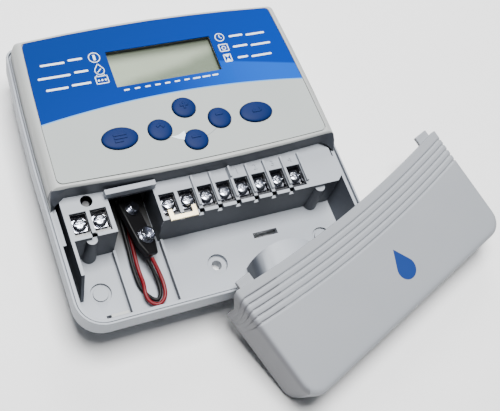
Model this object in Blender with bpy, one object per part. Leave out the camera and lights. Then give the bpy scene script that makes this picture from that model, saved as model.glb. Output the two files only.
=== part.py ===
"""A small battery-backed irrigation controller, lying on its back with its terminal cover taken off.

Frame: origin at the centre of the back face, +X to the right, +Y to the top, +Z out of the front.
Every size below is in millimetres; the finished meshes are written in metres.
"""
import math

import bmesh
import bpy
from mathutils import Matrix, Vector

MM = 0.001
GAP = 0.3                      # clearance between pieces that touch

# ---- driving dimensions of the case -------------------------------------------------------------
CASE_HALF_WIDTH = 63.2
CASE_HALF_HEIGHT = 63.0
SIDE_BOW = 0.0005              # how fast the sides lean in above SIDE_BOW_START, per mm
SIDE_BOW_START = -20.0
TOP_BOW = 2.2 / 55.7 ** 2      # fall of the top edge away from the middle, per mm squared
CASE_CORNER = 11.5             # lower corners
TOP_CORNER = 5.0
RIM_Z = 23.4
FACE_Z = 32.0
FLOOR_Z = 6.4
FLOOR_THICKNESS = 2.2
BACK_TAPER = 6.9               # how far the back face lies inside the rim
OUTER_LIP = 1.0
GROOVE = 0.5
INNER_LIP = 1.3
INNER_LIP_Z = RIM_Z - 0.8
RAIL_HALF = 6.0                # half width of the land down the middle of the back

# ---- front housing ------------------------------------------------------------------------------
HOUSING_INSET = 2.0
HOUSING_WALL = 2.0
FACE_THICKNESS = 2.2
EDGE_Y = -11.5                 # lowest point of the housing's arched lower edge
EDGE_BOW = 2.2 / 60.0 ** 2
LABEL_INSET = 6.0
LABEL_TOP_INSET = 4.8
LABEL_Y = -9.2
LABEL_THICKNESS = 0.4
LABEL_RECESS = 0.7
WINDOW = (-22.7, 23.0, 29.1, 46.2)
LENS_Z = (29.7, 30.6)          # the clear window rests on the display, below the face

# ---- terminal deck and its blocks ---------------------------------------------------------------
DECK_Z = 24.0
DECK_THICKNESS = 1.1
DECK_FRONT_Y = -28.3
DECK_REAR_Y = -8.4
PITCH = 7.97
POWER_X = -51.85               # first terminal of the power block
STATION_X = -16.1              # first terminal of the station block
TERMINAL_Y = -21.4
BLOCK_BOTTOM = 12.3
BLOCK_TOP = DECK_Z - DECK_THICKNESS - GAP
WELL_FLOOR = 19.9
POCKET = (6.5, 9.7)
POCKET_Y = -22.0
HOOD_MIDDLE = 25.55
HOOD_HALF = 14.25
HOOD_SIDE_Z = 12.5             # where the straight sides end and the arch starts
HOOD_ARCH = 7.9
HOOD_END_Y = -46.4             # the far end in the middle, which is nearer at its sides by HOOD_END_BOW
HOOD_END_BOW = 3.5
HOOD_WALL = 1.5
BAY = (-38.9, -20.6)           # left and right sides of the battery bay
BAY_RIB_Z = 9.6
RIB_HEIGHT = 1.4               # partitions between the station terminals
TALL_RIB_HEIGHT = 2.6          # the part of the middle partition next to the housing

# ---- boards -------------------------------------------------------------------------------------
DISPLAY_BOARD_Z = (24.6, 26.2)
TERMINAL_BOARD_Z = (10.4, 12.0)

# ---- loose terminal cover -----------------------------------------------------------------------
COVER_HALF_WIDTH = 61.9
COVER_HEIGHT = 48.2
COVER_DEPTH = 18.0
COVER_WALL = 1.6
COVER_SHOULDER = 2.5
COVER_CORNER = 8.0
COVER_BOW = 3.7 / 60.0 ** 2
COVER_TRIM = 5.5               # how far the side skirts' ends lean back, to clear the housing's feet
COVER_ORIGIN = (52.3, -45.0, 29.4)
COVER_ACROSS = (0.923, 0.385, 0.003)
COVER_UP = (-0.375, 0.897, 0.235)

# ---- battery strap and leads --------------------------------------------------------------------
STRAP_CENTRE = (-28.4, -23.8, 13.4)
STRAP_HALF = (4.4, 13.4)        # half width and half length
STRAP_YAW = math.radians(8.8)
STRAP_ROLL = math.radians(25.0)
SNAP_SPACING = 12.7
LEAD_RADIUS = 0.8
LEAD_ROUTE = [
    (-26.8, -38.9, 10.7), (-25.9, -43.0, 9.6), (-25.4, -48.0, 8.7), (-26.1, -52.2, 8.5),
    (-28.4, -54.5, 8.5), (-31.0, -53.4, 8.5), (-32.4, -50.0, 8.4), (-32.9, -45.0, 8.3),
    (-33.0, -38.0, 8.2), (-32.4, -30.0, 8.2), (-31.9, -21.0, 8.6), (-31.7, -13.0, 9.6),
    (-31.6, -7.6, 10.8),
]
CROSSOVER = (0.28, 0.50)       # share of the route over which the two leads cross

KEYS = {
    "button_program": (-28.7, 6.2, 7.2, 4.7),
    "button_previous": (-12.0, 6.6, 4.8, 4.6),
    "button_plus": (0.8, 14.5, 4.8, 4.5),
    "button_next": (13.8, 6.9, 4.7, 4.6),
    "button_minus": (1.0, -0.7, 4.8, 4.5),
    "button_manual": (30.0, 6.4, 7.0, 4.6),
}
KEY_TOP_Z = 33.5
CASE_SCREWS = {"1": (-46.5, 47.0), "2": (46.5, 47.0), "3": (-50.5, -2.0), "4": (50.5, -2.0)}


# ---- materials ----------------------------------------------------------------------------------
def material(name, colour, roughness, metallic=0.0):
    made = bpy.data.materials.new(name)
    made.use_nodes = True
    shader = made.node_tree.nodes["Principled BSDF"]
    shader.inputs["Base Color"].default_value = (*colour, 1.0)
    shader.inputs["Roughness"].default_value = roughness
    shader.inputs["Metallic"].default_value = metallic
    return made


# ---- mesh helpers -------------------------------------------------------------------------------
def loft(rings):
    """A closed solid through rings of points, all with the same number of points."""
    mesh = bmesh.new()
    rows = [[mesh.verts.new(point) for point in ring] for ring in rings]
    count = len(rows[0])
    for low, high in zip(rows, rows[1:]):
        for i in range(count):
            j = (i + 1) % count
            mesh.faces.new((low[i], low[j], high[j], high[i]))
    mesh.faces.new(rows[0][::-1])
    mesh.faces.new(rows[-1])
    bmesh.ops.recalc_face_normals(mesh, faces=mesh.faces)
    return mesh


def level(outline, z):
    return [(x, y, z) for x, y in outline]


def prism(outline, low, high):
    return loft([level(outline, low), level(outline, high)])


def box(x0, x1, y0, y1, z0, z1):
    return prism([(x0, y0), (x1, y0), (x1, y1), (x0, y1)], z0, z1)


def oval(x, y, a, b, steps=20):
    angles = [2 * math.pi * i / steps for i in range(steps)]
    return [(x + a * math.cos(t), y + b * math.sin(t)) for t in angles]


def turned(x, y, profile, steps=20):
    """A solid of revolution about Z from (radius, height) pairs, bottom to top."""
    return loft([level(oval(x, y, r, r, steps), z) for r, z in profile])


def rounded(x0, x1, y0, y1, radius, steps=4):
    """A rectangle with round corners, anticlockwise from the lower right corner."""
    points = []
    corners = [(x1, y0, -90), (x1, y1, 0), (x0, y1, 90), (x0, y0, 180)]
    for x, y, start in corners:
        cx = x - math.copysign(radius, x - (x0 + x1) / 2)
        cy = y - math.copysign(radius, y - (y0 + y1) / 2)
        for i in range(steps + 1):
            angle = math.radians(start + 90 * i / steps)
            points.append((cx + radius * math.cos(angle), cy + radius * math.sin(angle)))
    return points


def move(mesh, matrix):
    bmesh.ops.transform(mesh, matrix=matrix, verts=mesh.verts)
    return mesh


def join(*meshes):
    """Several separate bodies in one mesh, to be used together as a cutter or an addition."""
    joined = bmesh.new()
    for part in meshes:
        copies = {vert: joined.verts.new(vert.co) for vert in part.verts}
        for face in part.faces:
            joined.faces.new([copies[vert] for vert in face.verts])
        part.free()
    return joined


def to_object(name, mesh):
    bmesh.ops.scale(mesh, vec=(MM, MM, MM), verts=mesh.verts)
    data = bpy.data.meshes.new(name)
    mesh.to_mesh(data)
    mesh.free()
    made = bpy.data.objects.new(name, data)
    bpy.context.scene.collection.objects.link(made)
    return made


def piece(name, mesh, look, origin=(0.0, 0.0, 0.0)):
    """One sub-part, with its own origin at a point given in millimetres."""
    move(mesh, Matrix.Translation(-Vector(origin)))
    made = to_object(name, mesh)
    made.location = Vector(origin) * MM
    made.data.materials.append(look)
    return made


def combine(target, mesh, operation):
    """Cuts a mesh from a piece, or unites it with the piece."""
    tool = to_object("tool", mesh)
    step = target.modifiers.new("step", 'BOOLEAN')
    step.operation = operation
    step.solver = 'EXACT'
    step.object = tool
    graph = bpy.context.evaluated_depsgraph_get()
    target.data = bpy.data.meshes.new_from_object(target.evaluated_get(graph))
    target.modifiers.remove(step)
    bpy.data.objects.remove(tool)


def cut(target, *meshes):
    for mesh in meshes:
        combine(target, mesh, 'DIFFERENCE')


def fuse(target, *meshes):
    for mesh in meshes:
        combine(target, mesh, 'UNION')


def smooth(made, angle=35.0):
    made.data.shade_smooth()
    made.data.set_sharp_from_angle(angle=math.radians(angle))


# ---- outlines of the case -----------------------------------------------------------------------
def side_x(y, inset):
    lean = max(0.0, y - SIDE_BOW_START)
    return CASE_HALF_WIDTH - SIDE_BOW * lean * lean - inset


def top_y(x, inset):
    return CASE_HALF_HEIGHT - TOP_BOW * x * x - inset


def upper_half(start_y, inset, top_inset, corner):
    """The right side from start_y up, the top right corner, and the top edge to the middle."""
    corner_y = top_y(side_x(50.0, inset), top_inset) - corner
    points = []
    for i in range(7):
        y = start_y + (corner_y - start_y) * i / 6
        points.append((side_x(y, inset), y))
    centre_x = points[-1][0] - corner
    for i in range(1, 5):
        angle = math.radians(82.0 * i / 4)
        points.append((centre_x + corner * math.cos(angle), corner_y + corner * math.sin(angle)))
    last_x, last_y = points[-1]
    lift = last_y - top_y(last_x, top_inset)
    for i in range(1, 6):
        x = last_x * (1 - i / 6)
        points.append((x, top_y(x, top_inset) + lift * (1 - i / 6)))
    points.append((0.0, top_y(0.0, top_inset)))
    return points


def mirrored(right_half):
    """Adds the left half to a right half that runs from the bottom to the top middle."""
    left_half = [(-x, y) for x, y in right_half[:-1]]
    return right_half + left_half[::-1]


def case_outline(inset):
    corner = max(CASE_CORNER - inset, 2.0)
    bottom = -CASE_HALF_HEIGHT + inset
    side = CASE_HALF_WIDTH - inset
    right = []
    for i in range(9):
        angle = math.radians(-90 + 90 * i / 8)
        x = side - corner + corner * math.cos(angle)
        y = bottom + corner + corner * math.sin(angle)
        right.append((x, y))
    right += upper_half(SIDE_BOW_START, inset, inset, TOP_CORNER - min(inset, 3.0))
    return mirrored(right)


def edge_y(x):
    """The arched lower edge of the housing's face."""
    return EDGE_Y + EDGE_BOW * x * x


def housing_outline(inset, rise=0.0, flare=0.0):
    """Lower edge raised by rise; its two ends reach down by flare to meet the rim."""
    side = side_x(EDGE_Y, inset)
    right = []
    for i in range(11):
        x = side * i / 10
        reach = max(0.0, (x - 55.0) / (side - 55.0))
        right.append((x, edge_y(x) + rise - flare * reach * reach))
    start_y = right[-1][1] + 1.0
    right += upper_half(start_y, inset, inset, TOP_CORNER - min(inset, 3.5))
    return mirrored(right[1:]) + [right[0]]


def label_outline(grow=0.0):
    """The printed overlay, or its recess when grown."""
    inset = LABEL_INSET - grow
    side = side_x(EDGE_Y, inset)
    corner = 2.5
    right = []
    for i in range(8):
        x = (side - corner) * i / 7
        right.append((x, LABEL_Y - grow + 1.5 * (x / side) ** 2))
    base_y = right[-1][1]
    for i in range(1, 5):
        angle = math.radians(-90 + 90 * i / 4)
        right.append((side - corner + corner * math.cos(angle), base_y + corner * (1 + math.sin(angle))))
    right += upper_half(base_y + corner + 1.0, inset, LABEL_TOP_INSET - grow, 2.0)
    return mirrored(right[1:]) + [right[0]]


# ---- rear case ----------------------------------------------------------------------------------
def hood_top(x, grow=0.0):
    """Height of the arched wire-entry hood above the back, at x."""
    share = min(1.0, abs(x - HOOD_MIDDLE) / (HOOD_HALF + grow))
    return HOOD_SIDE_Z + grow + HOOD_ARCH * math.sqrt(1.0 - share * share)


def hood_end(x):
    share = (x - HOOD_MIDDLE) / HOOD_HALF
    return HOOD_END_Y - HOOD_END_BOW * share * share


def hood(grow, base, near, reach):
    """The arched hood as a solid; near holds its near end's y at the base and at the top."""
    steps = 16
    half = HOOD_HALF + grow
    rows = []
    for i in range(steps + 1):
        x = HOOD_MIDDLE - half * math.cos(math.pi * i / steps)
        top = hood_top(x, grow)
        far = hood_end(x) + reach
        rows.append([(x, near[0], base), (x, far, base), (x, far, top), (x, near[1], top)])
    return loft(rows)


def rear_case(look):
    under_rim = level(case_outline(0.4), 13.5)
    edge = level(case_outline(0.1), RIM_Z - 0.3)
    case = piece("rear_case", loft([level(case_outline(BACK_TAPER), 0.0), under_rim, edge,
                                    level(case_outline(0.3), RIM_Z)]), look)
    lips = OUTER_LIP + GROOVE + INNER_LIP
    groove_z = INNER_LIP_Z - 1.2
    steps = [(OUTER_LIP, RIM_Z + 1), (OUTER_LIP, groove_z), (OUTER_LIP + GROOVE, groove_z),
             (OUTER_LIP + GROOVE, INNER_LIP_Z), (lips, INNER_LIP_Z), (lips + 2.5, FLOOR_Z)]
    cut(case, loft([level(case_outline(inset), z) for inset, z in steps]))

    core_top = FLOOR_Z - FLOOR_THICKNESS
    for side in (-1, 1):
        hollow = rounded(RAIL_HALF, CASE_HALF_WIDTH - BACK_TAPER - 2.4, -53.5, 53.5, 6.0)
        points = [(side * x, y) for x, y in hollow]
        cut(case, prism(points if side > 0 else points[::-1], -1.0, core_top))

    fuse(case,
         hood(0.0, core_top - 0.5, (-57.2, -61.0), 0.0),
         box(-39.8, -38.7, -58.2, -29.9, FLOOR_Z - 0.5, BAY_RIB_Z),
         box(-20.1, -19.0, -58.2, -29.9, FLOOR_Z - 0.5, BAY_RIB_Z),
         box(-47.5, -39.5, -56.9, -55.9, FLOOR_Z - 0.5, 8.2),
         box(-61.0, -58.7, -28.0, -12.5, 12.0, 21.0))
    cut(case,
        hood(-HOOD_WALL, -1.0, (-70.0, -70.0), 0.6),
        join(turned(0.4, -44.8, [(4.2, 4.6), (4.2, 9.0)]),
             turned(-48.7, -44.8, [(4.2, 5.2), (4.2, 9.0)]),
             turned(48.7, -44.4, [(4.2, 5.2), (4.2, 9.0)]),
             box(19.5, 30.4, -38.2, -35.8, 2.0, 8.0),
             box(-49.3, -40.3, -55.5, -54.2, 2.0, 8.0)),
        turned(0.4, -44.8, [(2.1, -1.0), (2.1, 6.0)]),
        join(*[turned(x, y, [(1.9, 3.0), (1.9, 8.0)], 14) for x, y in CASE_SCREWS.values()]))
    fuse(case, turned(-48.7, -44.8, [(3.0, 5.0), (3.0, 6.0)]), turned(48.7, -44.4, [(3.0, 5.0), (3.0, 6.0)]))
    smooth(case)


# ---- front housing and what shows on its face ---------------------------------------------------
def key_outline(key, grow):
    x, y, a, b = KEYS[key]
    return oval(x, y, a + grow, b + grow, 24)


def front_housing(look):
    shell = piece("front_housing", loft([
        level(housing_outline(HOUSING_INSET, -0.3, 4.8), INNER_LIP_Z + GAP),
        level(housing_outline(HOUSING_INSET + 0.3, -0.2, 2.2), 28.0),
        level(housing_outline(HOUSING_INSET + 0.8, 0.0, 0.6), 30.3),
        level(housing_outline(HOUSING_INSET + 1.9, 0.2), 31.5),
        level(housing_outline(HOUSING_INSET + 3.4, 0.7), FACE_Z)]), look)
    wall = HOUSING_INSET + HOUSING_WALL
    ceiling = FACE_Z - FACE_THICKNESS
    cut(shell,
        loft([level(housing_outline(wall, 1.8), INNER_LIP_Z - 1),
              level(housing_outline(wall + 0.6, 1.8), ceiling)]),
        prism([(-59.5, -25.0), (59.5, -25.0), (59.5, -8.0), (-59.5, -8.0)], 20.0, DECK_Z + GAP))
    cut(shell, prism(label_outline(0.3), FACE_Z - LABEL_RECESS, FACE_Z + 1))
    x0, x1, y0, y1 = WINDOW
    cut(shell, join(box(x0, x1, y0, y1, ceiling - 1, FACE_Z),
                    *[prism(key_outline(key, 0.35), ceiling - 1, FACE_Z) for key in KEYS]))
    for x, y in CASE_SCREWS.values():
        fuse(shell, turned(x, y, [(3.0, FLOOR_Z + GAP), (3.2, ceiling + 0.5)], 14))
    cut(shell, join(*[turned(x, y, [(1.7, 6.0), (1.7, 15.5)], 14) for x, y in CASE_SCREWS.values()]))
    smooth(shell)


def label_overlay(look):
    low = FACE_Z - LABEL_THICKNESS
    film = piece("label_overlay", prism(label_outline(), low, FACE_Z), look)
    x0, x1, y0, y1 = WINDOW
    cut(film, join(box(x0, x1, y0, y1, low - 1, FACE_Z + 1),
                   *[prism(key_outline(key, 0.35), low - 1, FACE_Z + 1) for key in KEYS]))


def display(looks):
    x0, x1, y0, y1 = WINDOW
    outline = rounded(x0 + GAP, x1 - GAP, y0 + GAP, y1 - GAP, 0.6, 3)
    piece("display_window", prism(outline, *LENS_Z), looks["window"])
    piece("lcd_panel", box(x0 - 0.6, x1 + 0.6, y0 - 0.6, y1 + 0.6, 27.6, 29.4), looks["lcd"])
    frame = piece("lcd_frame", box(x0 - 3.0, x1 + 3.0, y0 - 3.0, y1 + 3.0, 26.5, 29.2), looks["black"])
    cut(frame, box(x0 - 0.9, x1 + 0.9, y0 - 0.9, y1 + 0.9, 25.0, 31.0))
    strip_y = y0 + 1.5
    piece("zebra_connector", box(x0 + 1, x1 - 1, strip_y - 1, strip_y + 1, 26.5, 27.3), looks["pink"])


def keys(look):
    for key in KEYS:
        flange = 28.4
        rings = [level(key_outline(key, 0.9), flange), level(key_outline(key, 0.9), flange + 1.0)]
        rings += [level(key_outline(key, 0.0), flange + 1.0), level(key_outline(key, 0.0), KEY_TOP_Z - 0.7)]
        rings += [level(key_outline(key, -0.4), KEY_TOP_Z - 0.2), level(key_outline(key, -1.3), KEY_TOP_Z)]
        x, y = KEYS[key][:2]
        smooth(piece(key, loft(rings), look, (x, y, FACE_Z)))


# ---- terminal deck ------------------------------------------------------------------------------
def station_xs():
    return [STATION_X + PITCH * i for i in range(8)]


def power_xs():
    return [POWER_X + PITCH * i for i in range(2)]


def wall_between(x0, x1, top_y0, top_y1, foot_shift):
    """A front wall whose foot leans forward by foot_shift."""
    foot = [(x0, top_y0 - foot_shift), (x1, top_y0 - foot_shift), (x1, top_y1 - foot_shift),
            (x0, top_y1 - foot_shift)]
    head = [(x0, top_y0), (x1, top_y0), (x1, top_y1), (x0, top_y1)]
    return loft([level(foot, FLOOR_Z + GAP), level(head, DECK_Z)])


def half_round(x, y, radius):
    """A half circle that bulges forward from a line at y, with a short straight back."""
    arc = [math.radians(180 + 180 * i / 10) for i in range(11)]
    points = [(x + radius * math.cos(t), y + radius * math.sin(t)) for t in arc]
    return points + [(x + radius, y + 0.6), (x - radius, y + 0.6)]


def terminal_deck(look):
    low = DECK_Z - DECK_THICKNESS
    deck = piece("terminal_deck", prism([
        (BAY[1], DECK_FRONT_Y), (57.3, DECK_FRONT_Y), (60.6, -25.2), (60.6, -17.8),
        (58.9, -16.6), (58.9, DECK_REAR_Y),
        (-57.3, DECK_REAR_Y), (-57.3, DECK_FRONT_Y), (BAY[0], DECK_FRONT_Y), (BAY[0], -11.0),
        (BAY[1], -11.0)], low, DECK_Z), look)
    foot = 1.0
    fin = [(-46.3, FLOOR_Z + GAP), (-42.2, DECK_Z), (-11.0, DECK_Z), (-11.0, FLOOR_Z + GAP)]
    fin_rings = [[(x, y, z) for y, z in fin] for x in (-57.3, -56.0)]
    fuse(deck,
         wall_between(-57.0, BAY[0], DECK_FRONT_Y, DECK_FRONT_Y + 1.2, foot),
         wall_between(BAY[1], 57.3, DECK_FRONT_Y, DECK_FRONT_Y + 1.2, foot),
         loft(fin_rings),
         box(BAY[0] - 1.0, BAY[0], -28.0, -10.5, FLOOR_Z + GAP, DECK_Z),
         box(BAY[1], BAY[1] + 1.0, -28.0, -10.5, FLOOR_Z + GAP, DECK_Z),
         box(56.2, 57.3, -28.0, -10.5, FLOOR_Z + GAP, DECK_Z),
         box(BAY[0] - 1.2, BAY[1] + 1.0, -14.1, -11.9, low, 27.8))
    for x in (-49.0, 49.0):
        foot_ring = level(half_round(x, DECK_FRONT_Y - 0.6, 3.0), FLOOR_Z + GAP)
        fuse(deck, loft([foot_ring, level(half_round(x, DECK_FRONT_Y, 2.2), 22.0)]))
    for x in [station_x + PITCH / 2 for station_x in station_xs()[1:]]:
        fuse(deck, box(x - 0.5, x + 0.5, -25.4, -12.4, DECK_Z - 0.4, DECK_Z + RIB_HEIGHT))
    middle = station_xs()[3] + PITCH / 2
    fuse(deck, box(middle - 0.4, middle + 0.4, -17.0, -12.2, DECK_Z - 0.4, DECK_Z + TALL_RIB_HEIGHT))
    cut(deck, turned(-47.1, -13.2, [(2.4, low - 1), (2.4, DECK_Z + 1)]))
    wide, deep = POCKET
    for x in power_xs() + station_xs():
        cut(deck, box(x - wide / 2, x + wide / 2, POCKET_Y - deep / 2, POCKET_Y + deep / 2, low - 1,
                      DECK_Z + 1))
    for x in power_xs()[:1] + station_xs()[:-1]:
        notch = x + PITCH / 2
        cut(deck, box(notch - 1.1, notch + 1.1, DECK_FRONT_Y - 1, DECK_FRONT_Y + 1.7, low - 1.6,
                      DECK_Z + 2))
    smooth(deck)


def terminal_block(name, centres, look):
    low_x = centres[0] - POCKET[0] / 2 - 0.1
    high_x = centres[-1] + POCKET[0] / 2 + 0.1
    block = piece(name, box(low_x, high_x, -26.4, -15.9, BLOCK_BOTTOM, BLOCK_TOP), look)
    wells = [rounded(x - 3.05, x + 3.05, TERMINAL_Y - 4.0, TERMINAL_Y + 4.0, 0.4, 1) for x in centres]
    cut(block, join(*[prism(well, WELL_FLOOR, DECK_Z + 1) for well in wells]))
    cut(block, join(*[turned(x, TERMINAL_Y, [(1.75, 13.2), (1.75, 21.0)], 14) for x in centres]))
    smooth(block)


def terminals(look):
    """A square clamp plate and its screw in each well; the screw turns in the plate."""
    names = ["power_%d" % (i + 1) for i in range(2)] + ["station_%d" % (i + 1) for i in range(8)]
    for name, x in zip(names, power_xs() + station_xs()):
        origin = (x, TERMINAL_Y, WELL_FLOOR + GAP)
        plate_low, plate_high = WELL_FLOOR + GAP, WELL_FLOOR + GAP + 1.0
        plate_outline = rounded(x - 2.7, x + 2.7, TERMINAL_Y - 2.7, TERMINAL_Y + 2.7, 0.5, 1)
        plate = piece("clamp_" + name, prism(plate_outline, plate_low, plate_high), look, origin)
        hole = turned(0.0, 0.0, [(1.8, -1.0), (1.8, 2.0)], 14)
        cut_local(plate, hole)
        head = plate_high + GAP
        screw = turned(x, TERMINAL_Y, [(1.4, 14.0), (1.4, head), (2.5, head), (2.6, head + 0.5),
                                       (2.5, head + 1.1), (1.9, head + 1.5)], 20)
        driven = piece("screw_" + name, screw, look, origin)
        top = head + 1.5 - origin[2]
        cut_local(driven, join(box(-2.1, 2.1, -0.3, 0.3, top - 0.7, top + 1)))
        smooth(driven)


def cut_local(target, mesh):
    """Cuts with a mesh given in the piece's own axes, in millimetres."""
    move(mesh, Matrix.Translation(target.location / MM))
    bpy.context.view_layer.update()
    cut(target, mesh)


# ---- inside the case ----------------------------------------------------------------------------
def boards(looks):
    low, high = DISPLAY_BOARD_Z
    piece("circuit_board", box(-41.0, 41.0, -5.5, 54.5, low, high), looks["pcb"])
    piece("microcontroller", box(-5.0, 5.0, 18.0, 28.0, low - GAP - 1.6, low - GAP), looks["black"])
    mat = piece("keypad_mat", prism(rounded(-38.5, 39.5, -6.0, 21.0, 3.0), 26.5, 27.1), looks["rubber"])
    smooth(mat)
    low, high = TERMINAL_BOARD_Z
    outline = [(-50.0, -26.0), (-40.5, -26.0), (-40.5, -7.0), (-18.9, -7.0), (-18.9, -26.0),
               (46.0, -26.0), (46.0, 34.0), (-46.0, 34.0), (-46.0, -8.0), (-50.0, -8.0)]
    piece("terminal_board", prism(outline, low, high), looks["pcb"])
    base = high + GAP
    piece("board_header", box(-12.0, 14.0, 8.0, 13.0, base, DISPLAY_BOARD_Z[0] - GAP), looks["black"])
    can = turned(-36.0, 6.0, [(4.6, base), (5.0, base + 0.6), (5.0, base + 11.0), (4.6, base + 11.5)], 24)
    smooth(piece("capacitor", can, looks["sleeve"]))
    piece("bridge_rectifier", box(-26.0, -17.0, 2.0, 9.0, base, base + 3.2), looks["black"])
    for i in range(4):
        x = 6.0 + PITCH * i
        shape = [(x + 2.4 * math.cos(math.radians(t)), -6.0 + 2.4 * math.sin(math.radians(t)))
                 for t in range(-30, 211, 24)]
        piece("triac_%d" % (i + 1), prism(shape, base, base + 4.6), looks["black"])


def reset(looks):
    x, y = -47.1, -13.2
    base = TERMINAL_BOARD_Z[1] + GAP
    piece("reset_switch", box(x - 2.5, x + 2.5, y - 2.5, y + 2.5, base, 16.9), looks["black"])
    stem = turned(x, y, [(2.3, 17.8), (2.3, 18.6), (1.8, 18.6), (1.8, 21.0), (1.4, 21.4)], 18)
    smooth(piece("reset_button", stem, looks["black"], (x, y, 18.0)))


def case_screws(look):
    for name, (x, y) in CASE_SCREWS.items():
        top = FLOOR_Z - FLOOR_THICKNESS - GAP
        profile = [(2.2, 1.8), (2.8, 2.5), (2.8, top), (1.35, top), (1.35, 14.0), (0.6, 15.0)]
        smooth(piece("case_screw_" + name, turned(x, y, profile, 16), look))


# ---- battery strap, sensor jumper and leads -----------------------------------------------------
def strap_matrix():
    turn = Matrix.Rotation(STRAP_YAW, 4, 'Z') @ Matrix.Rotation(STRAP_ROLL, 4, 'Y')
    return Matrix.Translation(STRAP_CENTRE) @ turn


def battery_strap(looks):
    wide, half = STRAP_HALF
    tail = wide - 1.8
    outline = [(-tail, -half), (tail, -half), (wide, -half + 5.5), (wide, half - 3.0), (tail, half),
               (-tail, half), (-wide, half - 3.0), (-wide, -half + 5.5)]
    inner = [(x * 0.94, y * 0.97) for x, y in outline]
    strap = loft([level(inner, -1.3), level(outline, -0.8), level(outline, 0.8), level(inner, 1.3)])
    piece("battery_strap", move(strap, strap_matrix()), looks["black"])
    centre = 0.9
    stud = turned(0.0, centre + SNAP_SPACING / 2, [(3.0, 1.6), (3.0, 2.1), (2.1, 2.1), (2.1, 3.0), (2.5, 3.6),
                                                   (2.2, 4.2)], 20)
    smooth(piece("battery_stud", move(stud, strap_matrix()), looks["nickel"]))
    y = centre - SNAP_SPACING / 2
    socket = turned(0.0, y, [(3.4, 1.6), (3.4, 2.1), (2.8, 2.1), (3.0, 4.4)], 24)
    socket_piece = piece("battery_socket", move(socket, strap_matrix()), looks["nickel"])
    cut(socket_piece, move(turned(0.0, y, [(2.2, 2.3), (2.4, 6.0)], 24), strap_matrix()))
    smooth(socket_piece)


def smooth_route(points, count):
    """Evenly spread points on a Catmull-Rom curve through the given points."""
    route = [Vector(p) for p in points]
    route = [2 * route[0] - route[1]] + route + [2 * route[-1] - route[-2]]
    fine = []
    for a, b, c, d in zip(route, route[1:], route[2:], route[3:]):
        for i in range(20):
            t = i / 20
            fine.append(0.5 * (2 * b + (c - a) * t + (2 * a - 5 * b + 4 * c - d) * t * t
                               + (3 * b - a - 3 * c + d) * t ** 3))
    fine.append(route[-2])
    lengths = [0.0]
    for a, b in zip(fine, fine[1:]):
        lengths.append(lengths[-1] + (b - a).length)
    spread = []
    for i in range(count):
        want = lengths[-1] * i / (count - 1)
        k = max(j for j in range(len(lengths)) if lengths[j] <= want + 1e-9)
        k = min(k, len(fine) - 2)
        share = (want - lengths[k]) / (lengths[k + 1] - lengths[k])
        spread.append(fine[k].lerp(fine[k + 1], share))
    return spread


def lead_points(side):
    """One lead of the pair: beside the route, crossing over the other at the loop."""
    route = smooth_route(LEAD_ROUTE, 30)
    offset = LEAD_RADIUS + GAP / 2
    points = []
    for i, point in enumerate(route):
        before, after = route[max(i - 1, 0)], route[min(i + 1, len(route) - 1)]
        along = (after - before).normalized()
        across = along.cross(Vector((0, 0, 1))).normalized()
        up = across.cross(along)
        share = i / (len(route) - 1)
        turn = min(max((share - CROSSOVER[0]) / (CROSSOVER[1] - CROSSOVER[0]), 0.0), 1.0)
        angle = math.pi * turn * turn * (3 - 2 * turn)
        points.append(point + side * offset * (-math.cos(angle) * across + math.sin(angle) * up))
    return points


def lead(name, side, look):
    curve = bpy.data.curves.new(name, 'CURVE')
    curve.dimensions = '3D'
    curve.bevel_depth = LEAD_RADIUS * MM
    curve.bevel_resolution = 2
    curve.use_fill_caps = True
    points = lead_points(side)
    line = curve.splines.new('POLY')
    line.points.add(len(points) - 1)
    for target, point in zip(line.points, points):
        target.co = (*(point * MM), 1.0)
    made = bpy.data.objects.new(name, curve)
    bpy.context.scene.collection.objects.link(made)
    curve.materials.append(look)


def sensor_jumper(look):
    first, second = station_xs()[0], station_xs()[1]
    low = DECK_Z + GAP
    bridge = piece("sensor_jumper", box(first - 1.9, second + 1.9, -29.4, -27.4, low, low + 0.8), look)
    for x in (first - 0.9, second + 0.9):
        fuse(bridge, box(x - 1.0, x + 1.0, -28.4, -24.6, low, low + 0.8))


# ---- terminal cover -----------------------------------------------------------------------------
def cover_outline(inset, top_rise=0.0):
    side = COVER_HALF_WIDTH - inset
    corner = max(COVER_CORNER - inset, 1.0)
    bottom = -COVER_HEIGHT + inset
    right = []
    for i in range(7):
        angle = math.radians(-90 + 90 * i / 6)
        right.append((side - corner + corner * math.cos(angle), bottom + corner * (1 + math.sin(angle))))
    for i in range(10):
        u = side * (1 - i / 10)
        right.append((u, COVER_BOW * u * u + top_rise))
    right.append((0.0, top_rise))
    return mirrored(right)


def terminal_cover(look):
    across = Vector(COVER_ACROSS).normalized()
    up = (Vector(COVER_UP) - across * across.dot(Vector(COVER_UP))).normalized()
    out = across.cross(up)
    place = Matrix.Translation(COVER_ORIGIN) @ Matrix((across, up, out)).transposed().to_4x4()
    shell = loft([level(cover_outline(0.3, -COVER_TRIM - 1.0), -COVER_DEPTH),
                  level(cover_outline(0.2, -COVER_TRIM), -0.5 * COVER_DEPTH),
                  level(cover_outline(0.0, -1.5), -COVER_SHOULDER),
                  level(cover_outline(0.7, -0.3), -0.7),
                  level(cover_outline(COVER_SHOULDER), 0.0)])
    cover = piece("terminal_cover", move(shell, place), look)
    hollow = loft([level(cover_outline(COVER_WALL + 0.3, 6.0), -COVER_DEPTH - 1),
                   level(cover_outline(COVER_WALL, 6.0), -COVER_SHOULDER),
                   level(cover_outline(COVER_WALL + 1.2, 6.0), -COVER_WALL)])
    cut(cover, move(hollow, place))
    tabs = [box(u - 3.5, u + 3.5, 0.0, 6.4, -COVER_WALL - 1.4, -COVER_WALL + 0.3) for u in (-54.5, 54.5)]
    for tab in tabs:
        fuse(cover, move(tab, place))
    smooth(cover)


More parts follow.
